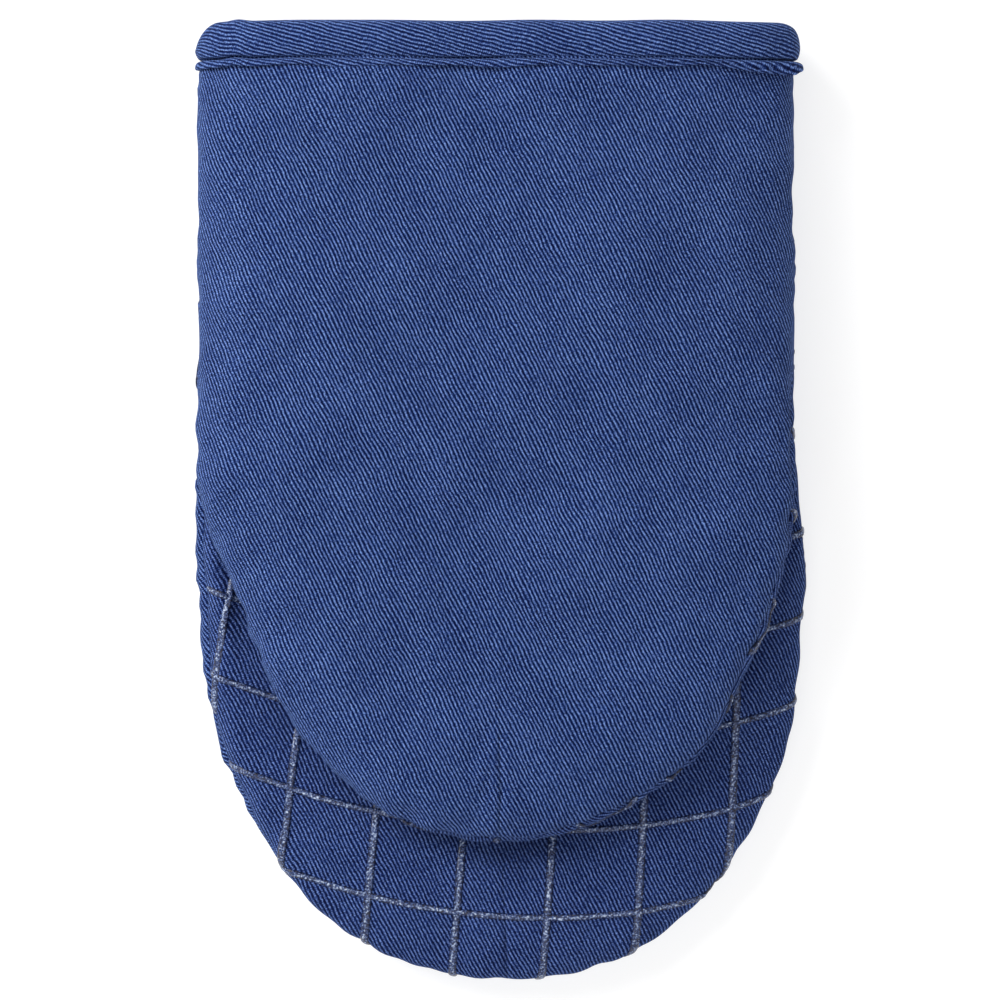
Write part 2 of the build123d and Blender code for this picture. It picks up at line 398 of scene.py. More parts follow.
def grid_normals(points, up):
    """Outward directions of a grid, from its neighbours along and across."""
    along = np.gradient(points, axis=0)
    across = np.gradient(points, axis=1)
    normal = np.cross(along, across)
    normal /= np.linalg.norm(normal, axis=2, keepdims=True) + 1e-12
    middle = normal[len(points) // 3, points.shape[1] // 2]
    return normal * (1 if middle[2] * up > 0 else -1)


# %% [markdown]
# ## Padding that isn't flat
# Batting is lumpy and a sewn seam draws the cloth in. Slow waves move each panel by half a millimetre,
# short puckers run away from every seam, and the seam line itself lies in a small groove. The finger
# half's grip face also swells along its left edge and is pressed down where the thumb half rests on it.
# Sculpting could do this, but waves from a seed come out the same each time and move all layers together.

# %% Lumps, puckers and the seam groove
LUMP_HEIGHT, LUMP_WAVE = 0.45, 42
SMALL_LUMP_HEIGHT, SMALL_LUMP_WAVE = 0.16, 13
PUCKER_HEIGHT, PUCKER_WAVE = 0.30, 7.5
GROOVE_DEPTH = 0.55


def relief(flat, from_seam, seed, inset):
    """How far each point of a panel moves out along its normal."""
    u, v = flat[..., 0], flat[..., 1]
    away = soft_step(from_seam, 0, 9)
    lumps = LUMP_HEIGHT * ripple(u, v, LUMP_WAVE, seed)
    lumps = lumps + SMALL_LUMP_HEIGHT * ripple(u, v, SMALL_LUMP_WAVE, seed + 1)
    pucker = PUCKER_HEIGHT * ripple(u, v, PUCKER_WAVE, seed + 2) * soft_bump(from_seam, 2.5, 3.5)
    groove_width = 0.8 if inset < BATTING_FROM else 2.2
    groove = -(GROOVE_DEPTH + 0.12 * inset) * np.exp(-((from_seam / groove_width) ** 2))
    return lumps * away + pucker + groove


# %% [markdown]
# ## A layer with real thickness
# Each layer is a thin closed solid: an outer grid, an inner grid and a wall round their edges. Building
# both grids from the same rows keeps the thickness even and the edges closed, which a modifier would not
# promise at the folded tip.


# %% Build one layer
def add_faces(faces, rows, columns, offset, turned):
    for i in range(rows - 1):
        for j in range(columns - 1):
            a = offset + i * columns + j
            quad = (a, a + 1, a + columns + 1, a + columns)
            faces.append(quad[::-1] if turned else quad)


def rim_of(rows, columns):
    """Indices round a grid's border, in order."""
    top = list(range(columns))
    right = [i * columns + columns - 1 for i in range(1, rows)]
    bottom = [(rows - 1) * columns + j for j in range(columns - 2, -1, -1)]
    left = [i * columns for i in range(rows - 2, 0, -1)]
    return top + right + bottom + left


def layer_mesh(name, outer, inner, flat):
    """A closed solid between two grids, with the flat pattern as its UV map."""
    rows, columns = outer.shape[:2]
    count = rows * columns
    faces = []
    add_faces(faces, rows, columns, 0, False)
    add_faces(faces, rows, columns, count, True)
    rim = rim_of(rows, columns)
    for a, b in zip(rim, rim[1:] + rim[:1]):
        faces.append((b, a, a + count, b + count))
    mesh = bpy.data.meshes.new(name)
    corners = np.vstack([outer.reshape(-1, 3), inner.reshape(-1, 3)]) * MM
    mesh.from_pydata(corners.tolist(), [], faces)
    uv = np.vstack([flat.reshape(-1, 2)] * 2) * MM
    loops = np.empty(len(mesh.loops), dtype=np.int32)
    mesh.loops.foreach_get("vertex_index", loops)
    mesh.uv_layers.new(name="pattern").data.foreach_set("uv", uv[loops].ravel())
    close_mesh(mesh)
    return new_piece(name, mesh)


def close_mesh(mesh):
    """Merges doubled corners, drops collapsed faces and turns every face outwards."""
    bm = bmesh.new()
    bm.from_mesh(mesh)
    bmesh.ops.remove_doubles(bm, verts=bm.verts, dist=2e-6)
    bmesh.ops.dissolve_degenerate(bm, dist=1e-7, edges=bm.edges)
    bmesh.ops.recalc_face_normals(bm, faces=bm.faces)
    for face in bm.faces:
        face.smooth = True
    open_edges = sum(1 for e in bm.edges if len(e.link_faces) != 2)
    bm.to_mesh(mesh)
    bm.free()
    print(mesh.name, "faces", len(mesh.polygons), "open edges", open_edges)


def new_piece(name, mesh):
    piece = bpy.data.objects.new(name, mesh)
    bpy.context.scene.collection.objects.link(piece)
    return piece


# %% [markdown]
# ## Blue twill
# The cloth is a 3/1 twill: each warp thread passes over three weft threads and under one, and each
# neighbour is shifted by one. That makes steep ridges, the wales, falling to the right. The pattern is
# worked out thread by thread from the flat-pattern coordinates, so it bends with the cloth and keeps its
# real size. Each wale is a rope of floats with a bead where one float ends and the next begins, and a fine
# grain stands for single fibres. The cloth is dyed one blue, so the dark and light of the weave in its
# colour are painted shade in the hollows and painted highlight on the ridges; the grain and slubs are
# random tone. A tiled picture of cloth would be quicker, but its repeat would show.

# %% Shader helpers
WARP_PITCH = 0.235
WEFT_PITCH = 0.47
GRAIN_CONTRAST = 2.3


def srgb(red, green, blue):
    """A colour given as 0 to 255 in sRGB, as the shader wants it."""
    made = []
    for value in (red, green, blue):
        c = value / 255
        made.append(c / 12.92 if c <= 0.04045 else ((c + 0.055) / 1.055) ** 2.4)
    return (*made, 1.0)


class Shader:
    """A material's node tree with short calls for the nodes that this mitt needs."""

    def __init__(self, name):
        self.material = bpy.data.materials.new(name)
        self.material.use_nodes = True
        self.tree = self.material.node_tree
        self.surface = self.tree.nodes["Principled BSDF"]

    def node(self, kind, **settings):
        made = self.tree.nodes.new(kind)
        for key, value in settings.items():
            setattr(made, key, value)
        return made

    def feed(self, socket, value):
        if isinstance(value, bpy.types.NodeSocket):
            self.tree.links.new(value, socket)
        else:
            socket.default_value = value

    def math(self, operation, *values, clamp=False):
        made = self.node("ShaderNodeMath", operation=operation, use_clamp=clamp)
        for socket, value in zip(made.inputs, values):
            self.feed(socket, value)
        return made.outputs[0]

    def noise(self, vector, scale, detail=2.0, roughness=0.5):
        made = self.node("ShaderNodeTexNoise")
        self.feed(made.inputs["Vector"], vector)
        self.feed(made.inputs["Scale"], scale)
        self.feed(made.inputs["Detail"], detail)
        self.feed(made.inputs["Roughness"], roughness)
        return made.outputs["Fac"]

    def ramp(self, value, stops):
        made = self.node("ShaderNodeValToRGB")
        while len(made.color_ramp.elements) < len(stops):
            made.color_ramp.elements.new(0.5)
        for element, (place, colour) in zip(made.color_ramp.elements, stops):
            element.position = place
            element.color = colour
        self.feed(made.inputs["Fac"], value)
        return made.outputs["Color"]

    def bump(self, height, strength, distance):
        made = self.node("ShaderNodeBump")
        self.feed(made.inputs["Height"], height)
        self.feed(made.inputs["Strength"], strength)
        self.feed(made.inputs["Distance"], distance)
        self.tree.links.new(made.outputs["Normal"], self.surface.inputs["Normal"])
        return made

    def finish(self, **sockets):
        for name, value in sockets.items():
            self.feed(self.surface.inputs[name.replace("_", " ")], value)
        return self.material


# %% Twill material
def twill_material(name, valley_shade, middle, crest_highlight, turn=0.0):
    """Blue 3/1 twill on the pattern UV map. turn rotates the weave in the cloth, in degrees.
    The darkest colour paints shade into the weave's hollows, the lightest paints highlight on its ridges.
    """
    s = Shader(name)
    uv = s.node("ShaderNodeUVMap", uv_map="pattern").outputs["UV"]
    place = s.node("ShaderNodeMapping")
    s.feed(place.inputs["Vector"], uv)
    place.inputs["Rotation"].default_value = (0, 0, math.radians(turn))
    place.inputs["Scale"].default_value = (1 / MM, 1 / MM, 1 / MM)
    flat = place.outputs["Vector"]
    parts = s.node("ShaderNodeSeparateXYZ")
    s.feed(parts.inputs[0], flat)
    sway = s.math("MULTIPLY", s.math("SUBTRACT", s.noise(flat, 0.10, 2.0), 0.5), 1.6)
    jitter = s.math("MULTIPLY", s.math("SUBTRACT", s.noise(flat, 1.3, 2.0), 0.5), 0.22)
    warp = s.math("DIVIDE", s.math("ADD", parts.outputs["X"], s.math("ADD", sway, jitter)), WARP_PITCH)
    weft = s.math("DIVIDE", s.math("ADD", parts.outputs["Y"], jitter), WEFT_PITCH)
    across = s.math("SUBTRACT", s.math("FRACT", warp), 0.5)
    phase = s.math("FRACT", s.math("DIVIDE", s.math("ADD", weft, s.math("FLOOR", warp)), 4.0))
    along = s.math("SINE", s.math("MULTIPLY", phase, math.pi / 0.75))
    rise = s.math("POWER", s.math("MAXIMUM", along, 0.0), 0.5)
    fall = s.math("SUBTRACT", 1.0, s.math("MULTIPLY", s.math("MULTIPLY", across, across), 3.4))
    thread = s.math("MULTIPLY", rise, fall)
    wale_phase = s.math("MULTIPLY", s.math("ADD", warp, weft), math.pi / 2)
    wale = s.math("MULTIPLY_ADD", s.math("SINE", s.math("SUBTRACT", wale_phase, 0.35)), 0.5, 0.5)
    twist = s.math("MULTIPLY_ADD", warp, 0.2, s.math("MULTIPLY", weft, -0.95))
    bead = s.math("MULTIPLY_ADD", s.math("SINE", s.math("MULTIPLY", twist, 2 * math.pi)), 0.5, 0.5)
    beads = s.math("ADD", s.math("MULTIPLY_ADD", bead, 0.56, 0.24), s.math("MULTIPLY", fall, 0.36))
    rope = s.math("MULTIPLY", wale, beads)
    grain = s.noise(flat, 2.2, 2.0, 0.9)
    slub = s.noise(flat, 0.07, 3.0, 0.6)
    uneven = s.math("MULTIPLY", s.math("SUBTRACT", grain, 0.5), GRAIN_CONTRAST)
    cloudy = s.math("MULTIPLY", s.math("SUBTRACT", slub, 0.5), 0.22)
    weave = s.math("ADD", s.math("MULTIPLY", rope, 0.72), s.math("MULTIPLY", thread, 0.28))
    tone = s.math("ADD", s.math("ADD", weave, uneven), cloudy, clamp=True)
    # The ramp turns the weave's relief into colour: painted shade in its hollows and painted highlight on
    # its ridges. The grain and slubs add random tone.
    colour = s.ramp(tone, [(0.13, valley_shade), (0.50, middle), (1.0, crest_highlight)])
    height = s.math("ADD", s.math("MULTIPLY", rope, 0.65), s.math("MULTIPLY", thread, 0.35))
    s.bump(s.math("ADD", height, s.math("MULTIPLY", grain, 0.35)), 0.9, 0.00022)
    return s.finish(
        Base_Color=colour, Roughness=0.9, Sheen_Weight=0.16, Sheen_Roughness=0.45,
        Sheen_Tint=srgb(130, 170, 240), Specular_IOR_Level=0.14,
    )


# Each twill gets a painted shade colour, a middle colour and a painted highlight colour.
TWILL_CLOTH = twill_material("blue_twill", srgb(0, 6, 48), srgb(26, 54, 120), srgb(138, 170, 238))
# The grip twill is the same cloth in darker colours: painted shade for the grip faces, which lie under the
# thumb half.
GRIP_TWILL_PAINTED_SHADE = twill_material("blue_grip_twill", srgb(0, 5, 44), srgb(23, 48, 112), srgb(128, 158, 228))
BINDING_CLOTH = twill_material(
    "blue_bias_twill", srgb(0, 6, 48), srgb(29, 56, 121), srgb(138, 170, 238), turn=-47.0
)

# %% [markdown]
# ## Batting and lining
# The batting is needled wadding and the lining a plain-woven natural cotton. Hair strands would come closer
# to real wadding. But the batting never shows, and the lining shows only inside the cuff, so a felt-like
# noise and a small plain weave are enough.


# %% Inner materials
def batting_material():
    s = Shader("needled_batting")
    place = s.node("ShaderNodeTexCoord").outputs["Object"]
    fibres = s.noise(place, 900, 6.0, 0.7)
    tufts = s.noise(place, 120, 3.0)
    colour = s.ramp(s.math("MULTIPLY", s.math("ADD", fibres, tufts), 0.5), [
        (0.2, srgb(196, 192, 182)), (0.8, srgb(240, 238, 230)),
    ])
    s.bump(fibres, 0.7, 0.0006)
    return s.finish(Base_Color=colour, Roughness=0.97, Sheen_Weight=0.3, Specular_IOR_Level=0.1)


def lining_material():
    s = Shader("natural_cotton_lining")
    uv = s.node("ShaderNodeUVMap", uv_map="pattern").outputs["UV"]
    parts = s.node("ShaderNodeSeparateXYZ")
    s.feed(parts.inputs[0], uv)
    pitch = 0.42 * MM
    warp = s.math("SINE", s.math("MULTIPLY", parts.outputs["X"], math.pi / pitch))
    weft = s.math("SINE", s.math("MULTIPLY", parts.outputs["Y"], math.pi / pitch))
    weave = s.math("MULTIPLY_ADD", s.math("MULTIPLY", warp, weft), 0.5, 0.5)
    slub = s.noise(uv, 240, 3.0, 0.6)
    tone = s.math("ADD", s.math("MULTIPLY", weave, 0.55), s.math("MULTIPLY", slub, 0.45))
    colour = s.ramp(tone, [(0.15, srgb(168, 165, 156)), (0.85, srgb(228, 226, 218))])
    s.bump(weave, 0.4, 0.00012)
    return s.finish(Base_Color=colour, Roughness=0.92, Sheen_Weight=0.15, Specular_IOR_Level=0.15)


BATTING_FELT = batting_material()
LINING_COTTON = lining_material()

# %% [markdown]
# ## The four panels, three layers each
# The back panel runs from the cuff to the fingertips. The front panel runs from the cuff to the tip of
# the thumb half. The grip panel is one cloth: it covers the finger half's inner face, folds back at the
# crotch, and covers the thumb half's inner face. Its two parts lie on halves that swing apart when the mouth
# opens, so they are two pieces that meet at the crotch, and the fold is added to the thumb half's part. Four
# rows of a table hold what differs between the panels, so one function builds them all.

# %% Panel table
PANEL_START_Y = CUFF_Y - 3.6
PANELS = {
    "back": (FINGER_HALF, "back", "finger_grip", finger_seam_z, finger_seam_inset, -1, PANEL_START_Y, 11),
    "front": (THUMB_HALF, "front", "thumb_grip", thumb_seam_z, thumb_seam_inset, 1, PANEL_START_Y, 23),
    "finger_grip": (FINGER_HALF, "finger_grip", "back", finger_seam_z, finger_seam_inset, 1, CROTCH_Y, 37),
    "thumb_grip": (THUMB_HALF, "thumb_grip", "front", thumb_seam_z, thumb_seam_inset, -1, CROTCH_Y, 51),
}


# %% Shape of one layer
THUMB_PRESS = 3.0
EDGE_ROLL = 1.3
SEAM_CLEARANCE = 0.4
GRIP_LUMPS = 0.6


def under_thumb(points, from_seam):
    """1 where the thumb half rests on the grip, falling to 0 just outside its outline."""
    x, y = points[..., 0], points[..., 1]
    down = np.clip((THUMB_SHOULDER_Y - y) / (THUMB_SHOULDER_Y - THUMB_TIP_Y), 0, 2)
    covered = 1 - soft_step((x / HALF_WIDTH) ** 2 + down**2, 0.92, 1.17)
    covered = covered * (1 - 0.5 * soft_step(x, -10, 40))
    return covered * soft_step(CROTCH_Y - y, 6, 30) * soft_step(from_seam, 2, 8)


def panel_layer(panel, inset, spacing, count):
    """The grid of one layer of a panel, with its relief, ready to build."""
    half, face, other, seam_z, seam_inset, sign, start_y, seed = PANELS[panel]

    def inset_from_this_face(side, y, turn):
        on_this_face = face in ("finger_grip", "front")
        return seam_inset(side, y, turn) * (1 if on_this_face else -1)

    points, flat, from_seam = cloth_grid(
        half, face, other, seam_z, inset_from_this_face, start_y, inset, spacing, count
    )
    normals = grid_normals(points, sign)
    moved = relief(flat, from_seam, seed, inset)
    if panel in SETTLED:
        settled = stretch_grid(SETTLED[panel], moved.shape)
        moved = moved + settled * (0.12 + 0.88 * soft_step(from_seam, 3, 14))
    if panel == "back":
        moved = moved * soft_step(points[..., 2], 0.3, 4.0)
    at_crotch = soft_bump(points[..., 1], CROTCH_Y - 8, 11) * (1 - soft_step(from_seam, 1, 7))
    moved = moved * (1 - at_crotch)
    if panel in ("finger_grip", "thumb_grip"):
        moved = np.where(moved > 0, moved * GRIP_LUMPS, moved)
    if panel == "finger_grip":
        flank = soft_step(-points[..., 0], 10, 50) * soft_step(CROTCH_Y - points[..., 1], 8, 34)
        moved = moved + EDGE_ROLL * soft_bump(from_seam, 4.4, 2.7) * flank
        moved = moved - THUMB_PRESS * under_thumb(points, from_seam)
    if inset > TWILL:
        moved = moved - SEAM_CLEARANCE * soft_bump(from_seam, 4.5, 5)
    points = points + normals * moved[..., None]
    points[..., 2] = np.maximum(points[..., 2], FLOOR_CLEARANCE + inset)
    return points, flat, from_seam, normals


# %% The fold at the crotch
FOLD_STEPS = 8


def add_fold(points, flat):
    """Rows that carry the thumb half's grip face round the fold to the finger half's grip face."""
    first = points[0]
    radius = np.abs(first[:, 2] - HINGE_Z)
    fold, fold_flat = [], []
    for k in range(FOLD_STEPS, 0, -1):
        angle = math.pi * k / FOLD_STEPS
        turned = first.copy()
        turned[:, 1] = CROTCH_Y + radius * math.sin(angle)
        turned[:, 2] = HINGE_Z + radius * math.cos(angle)
        fold.append(turned)
        fold_flat.append(flat[0] + np.outer(radius * angle, (0, 1)))
    return np.concatenate([fold, points]), np.concatenate([fold_flat, flat])


# %% [markdown]
# ## Settling the cloth
# Sewn cloth is a little longer than its seam, so it buckles into soft wrinkles that die out across the
# panel, and the batting presses it outwards. Blender's Cloth does the same: the panel's border is pinned,
# the cloth wants to be a little over one per cent larger, and a light pressure blows from inside. Only the
# movement along the normal is kept, with a cap, and every layer below takes the same movement, so the
# layers stay nested. They aren't kept apart: the inner grids are coarser and the gaps are thin, so
# neighbouring layers still graze each other out of sight. The panel is simulated ten times larger, because
# Cloth is steadier at that size.

# %% Cloth simulation of one panel
SIM_SCALE = 10.0
SIM_FRAMES = 14
SIM_SPACING, SIM_COUNT = 1.9, 46
MOST_MOVEMENT = 0.55
LEVEL_SHARE = 0.85
SETTLED = {}


def settle(panel):
    """Runs Cloth on one panel and returns how far each point of its grid moves out, in millimetres."""
    points, _, _, normals = panel_layer(panel, 0.0, SIM_SPACING, SIM_COUNT)
    rows, columns = points.shape[:2]
    faces = []
    add_faces(faces, rows, columns, 0, False)
    mesh = bpy.data.meshes.new(panel + "_sim")
    mesh.from_pydata((points.reshape(-1, 3) * MM * SIM_SCALE).tolist(), [], faces)
    cloth_piece = new_piece(panel + "_sim", mesh)
    if np.mean([p.normal.z for p in mesh.polygons]) * normals[rows // 3, columns // 2, 2] < 0:
        mesh.flip_normals()
    pinned = cloth_piece.vertex_groups.new(name="sewn")
    border = np.zeros((rows, columns), bool)
    border[0], border[-1], border[:, 0], border[:, -1] = True, True, True, True
    pinned.add(np.flatnonzero(border.ravel()).tolist(), 1.0, "ADD")
    cloth = cloth_piece.modifiers.new("cloth", "CLOTH").settings
    cloth.vertex_group_mass = "sewn"
    cloth.quality = 6
    cloth.mass = 0.25
    cloth.tension_stiffness = cloth.compression_stiffness = 30
    cloth.shear_stiffness = 8
    cloth.bending_stiffness = 1.2
    cloth.air_damping = 4
    cloth.shrink_min = cloth.shrink_max = -0.014
    cloth.use_pressure = True
    cloth.uniform_pressure_force = 1.5
    cloth.effector_weights.gravity = 0
    bpy.context.scene.frame_start, bpy.context.scene.frame_end = 1, SIM_FRAMES
    for number in range(1, SIM_FRAMES + 1):
        bpy.context.scene.frame_set(number)
    ready = cloth_piece.evaluated_get(bpy.context.evaluated_depsgraph_get())
    after = np.empty(rows * columns * 3)
    ready.data.vertices.foreach_get("co", after)
    moved = after.reshape(rows, columns, 3) / (MM * SIM_SCALE) - points
    bpy.data.objects.remove(cloth_piece)
    bpy.context.scene.frame_set(1)
    out = np.sum(moved * normals, axis=2)
    swell = LEVEL_SHARE * smoothed(out, 12)
    return MOST_MOVEMENT * np.tanh((out - swell) / MOST_MOVEMENT)


def smoothed(grid, times):
    """A grid of numbers with each one averaged with its neighbours, several times."""
    for _ in range(times):
        wide = np.pad(grid, 1, mode="edge")
        grid = (wide[:-2, 1:-1] + wide[2:, 1:-1] + wide[1:-1, :-2] + wide[1:-1, 2:] + 4 * grid) / 8
    return grid


def stretch_grid(grid, shape):
    """The same surface of numbers on another number of rows and columns."""
    rows = np.linspace(0, grid.shape[0] - 1, shape[0])
    columns = np.linspace(0, grid.shape[1] - 1, shape[1])
    down = np.array([np.interp(rows, np.arange(grid.shape[0]), column) for column in grid.T]).T
    return np.array([np.interp(columns, np.arange(grid.shape[1]), row) for row in down])


for name in PANELS:
    SETTLED[name] = settle(name)
    print(name, "wrinkles up to", round(float(np.abs(SETTLED[name]).max()), 2), "mm")

# %% Build the panels
LAYERS = {
    "twill": (0.0, TWILL, "shell", TWILL_CLOTH, "twill"),
    "batting": (BATTING_FROM, BATTING_TO, "batting", BATTING_FELT, "batting"),
    "lining": (LINING_FROM, LINING_TO, "lining", LINING_COTTON, "lining"),
}
STANDS_FOR = {
    "back": ["back"], "front": ["cuff_front", "thumb_crease", "thumb"],
    "finger_grip": ["finger_grip"], "thumb_grip": ["thumb_grip", "crotch_fold"],
}
FINE, FINE_COUNT = 1.5, 58
COARSE, COARSE_COUNT = 3.0, 30
panel_pieces, face_grids, cut_sizes = {}, {}, {}


def cut_size(flat):
    """Width, length and area of a layer's flat pattern, in millimetres."""
    u, v = flat[..., 0], flat[..., 1]
    across, down = np.diff(flat, axis=1)[:-1], np.diff(flat, axis=0)[:, :-1]
    area = np.abs(across[..., 0] * down[..., 1] - across[..., 1] * down[..., 0]).sum()
    return float(np.ptp(u)), float(np.ptp(v)), float(area)


for panel in PANELS:
    for layer, (outer_inset, inner_inset, cad_name, material, slot) in LAYERS.items():
        spacing, count = (FINE, FINE_COUNT) if layer == "twill" else (COARSE, COARSE_COUNT)
        outer, flat, _, normals = panel_layer(panel, outer_inset, spacing, count)
        inner = panel_layer(panel, inner_inset, spacing, count)[0]
        if layer == "twill":
            face_grids[panel] = (outer, flat, normals)
        if panel == "thumb_grip":
            inner, _ = add_fold(inner, flat)
            outer, flat = add_fold(outer, flat)
        piece = layer_mesh(f"{panel}_panel_{layer}", outer, inner, flat)
        cut_sizes[panel, layer] = cut_size(flat)
        # The grip panels' twill is the darker copy with painted shade.
        piece.data.materials.append(GRIP_TWILL_PAINTED_SHADE if "grip" in panel and layer == "twill" else material)
        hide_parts(*[f"{cad}_{cad_name}" for cad in STANDS_FOR[panel]])
        panel_pieces[panel, layer] = piece

# %% [markdown]
# ## Joining the two halves
# The back panel and the finger half's grip face lie still on the root body. Everything of the thumb half
# bends over the crotch when the mouth opens, and riding on the thumb body alone would tear the front panel
# at the crotch. Here the thumb half's pieces only have their placing baked into their meshes; they are not
# attached to any body.


def bend_with_thumb(piece):
    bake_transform(piece)


for (panel, layer), piece in panel_pieces.items():
    if panel in ("front", "thumb_grip"):
        bend_with_thumb(piece)
    else:
        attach(piece, ROOT)

# %% [markdown]
# ## Silicone grid
# The grip panel is printed flat with a grid of silicone before it is sewn. So the lines are drawn on the
# flat pattern, and each point is then carried to where that spot of the pattern lies on the sewn
# surface. The lines keep their spacing and run over the edge into the seam, as real ones do. Lines in the
# cloth's material would be simpler, but real ones stand up half a millimetre and catch the light.

# %% Carry pattern points to the surface
GRID_PITCH_ACROSS = 20.2
GRID_PITCH_ALONG = 19.5
GRID_MIDDLE_X, GRID_FIRST_Y = 12.0, -94.2
LINE_LEAN, LEAN_CHANGE = 0.080, 0.0008
LINE_SAG, SAG_CHANGE = 0.0030, 0.00012
POINT_STEP = 0.7
LINE_WIDTH_ALONG = 1.9
LINE_WIDTH_ACROSS = 1.5
LINE_HEIGHT = 0.5


class PatternMap:
    """Finds where a point of the flat pattern lies on the sewn face."""

    def __init__(self, points, flat, normals):
        rows, columns = points.shape[:2]
        self.points = points.reshape(-1, 3)
        self.normals = normals.reshape(-1, 3)
        self.corners = [Vector((u, v, 0)) for u, v in flat.reshape(-1, 2)]
        self.faces = []
        add_faces(self.faces, rows, columns, 0, False)
        self.tree = BVHTree.FromPolygons(self.corners, self.faces)

    def place(self, u, v, slack=0.05):
        """The point and outward direction at a pattern place, or None where there is no cloth."""
        found, _, index, distance = self.tree.find_nearest(Vector((u, v, 0)))
        if found is None or distance > slack:
            return None
        corners = self.faces[index]
        weights = poly_3d_calc([self.corners[c] for c in corners], found)
        point = sum(w * self.points[c] for w, c in zip(weights, corners))
        normal = sum(w * self.normals[c] for w, c in zip(weights, corners))
        return point, normal / np.linalg.norm(normal)


def grid_lines():
    """Every printed line: its width, and its places on the pattern."""
    lines = []
    for k in range(-4, 5):
        x0 = GRID_MIDDLE_X + GRID_PITCH_ACROSS * k
        slope = LINE_LEAN - LEAN_CHANGE * x0
        down = np.arange(FINGER_TIP_Y - 8, CROTCH_Y, POINT_STEP)
        lines.append((LINE_WIDTH_ALONG, [(x0 + slope * (v + 77), v) for v in down]))
    for k in range(-1, 9):
        y0 = GRID_FIRST_Y + GRID_PITCH_ALONG * k
        sag = LINE_SAG - SAG_CHANGE * k
        right = np.arange(-85, 85, POINT_STEP)
        lines.append((LINE_WIDTH_ACROSS, [(u, y0 + sag * (u - 11) ** 2) for u in right]))
    return lines


# %% Lay beads along the lines
DOME_POINTS = 9


def bead_ring(point, normal, tangent, width, height):
    """The cross-section of a printed line: a low dome with its foot just inside the cloth."""
    side = np.cross(normal, tangent)
    side /= np.linalg.norm(side)
    angles = np.linspace(0, math.pi, DOME_POINTS)
    dome = [point + side * width / 2 * math.cos(a) + normal * height * math.sin(a) ** 0.7 for a in angles]
    foot = [point - side * width / 2 - normal * 0.3, point + side * width / 2 - normal * 0.3]
    return dome + foot


def add_bead(corners, faces, path, width, dice):
    """One closed bead along a path of (point, normal)."""
    if len(path) < 4:
        return
    tangents = np.gradient(np.array([p for p, _ in path]), axis=0)
    start = len(corners)
    lump = 0.0
    for k, (point, normal) in enumerate(path):
        lump = 0.55 * lump + 0.45 * dice.uniform(-1, 1)
        taper = min(1.0, 0.55 + 0.25 * min(k, len(path) - 1 - k))
        tangent = tangents[k] / np.linalg.norm(tangents[k])
        wide = width * (1 + 0.16 * lump) * taper
        high = LINE_HEIGHT * (1 + 0.45 * lump) * taper
        corners.extend(bead_ring(point, normal, tangent, wide, high))
    ring = DOME_POINTS + 2
    for k in range(len(path) - 1):
        for j in range(ring):
            a, b = start + k * ring + j, start + k * ring + (j + 1) % ring
            faces.append((a, b, b + ring, a + ring))
    faces.append(tuple(range(start + ring - 1, start - 1, -1)))
    last = start + (len(path) - 1) * ring
    faces.append(tuple(range(last, last + ring)))


def silicone_grid(name, panel, shift, mirrored):
    """All printed lines on one face of the mouth, as one mesh."""
    surface = PatternMap(*face_grids[panel])
    dice = np.random.RandomState(5)
    corners, faces = [], []
    for width, line in grid_lines():
        path = []
        for u, v in line:
            pattern_u = -(u + shift[0]) if mirrored else u + shift[0]
            spot = surface.place(pattern_u, v + shift[1])
            if spot is None:
                add_bead(corners, faces, path, width, dice)
                path = []
            else:
                path.append(spot)
        add_bead(corners, faces, path, width, dice)
    mesh = bpy.data.meshes.new(name)
    mesh.from_pydata((np.array(corners) * MM).tolist(), [], faces)
    across = [math.cos(math.pi * j / (DOME_POINTS - 1)) for j in range(DOME_POINTS)] + [-1, 1]
    rings = len(corners) // len(across)
    mesh.attributes.new("across", "FLOAT", "POINT").data.foreach_set("value", across * rings)
    close_mesh(mesh)
    return new_piece(name, mesh)


# %% Silicone material
def silicone_material():
    """Clear silicone over navy cloth: dark navy, with pale specks as painted glints and painted shade
    towards each bead's edges.
    """
    s = Shader("printed_silicone")
    place = s.node("ShaderNodeTexCoord").outputs["Object"]
    across = s.node("ShaderNodeAttribute", attribute_name="across").outputs["Fac"]
    specks = s.noise(place, 2000, 2.0, 0.7)
    cloud = s.noise(place, 700, 3.0, 0.6)
    # Darker towards the bead's edges: painted shade at the foot of each bead.
    shoulder = s.math("MULTIPLY", s.math("MULTIPLY", across, across), -0.24)
    tone = s.math("ADD", s.math("MULTIPLY", specks, 1.5), s.math("MULTIPLY", cloud, 0.35))
    tone = s.math("ADD", s.math("SUBTRACT", tone, 0.36), shoulder)
    # The palest colour paints glints onto the specks.
    colour = s.ramp(tone, [
        (0.36, srgb(4, 15, 50)), (0.50, srgb(26, 47, 98)),
        (0.63, srgb(76, 99, 150)), (0.84, srgb(202, 216, 238)),
    ])
    s.bump(s.math("ADD", specks, s.math("MULTIPLY", cloud, 1.6)), 1.0, 0.0004)
    return s.finish(Base_Color=colour, Roughness=0.26, Specular_IOR_Level=0.6, IOR=1.41, Coat_Weight=0.3)


SILICONE = silicone_material()
finger_grid = silicone_grid("finger_silicone_grid_lines", "finger_grip", (0, 0), False)
thumb_grid = silicone_grid("thumb_silicone_grid_lines", "thumb_grip", (-12.5, 0), True)
for grid, node in ((finger_grid, "finger_silicone_grid"), (thumb_grid, "thumb_silicone_grid")):
    grid.data.materials.append(SILICONE)
    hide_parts(node)
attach(finger_grid, ROOT)
bend_with_thumb(thumb_grid)

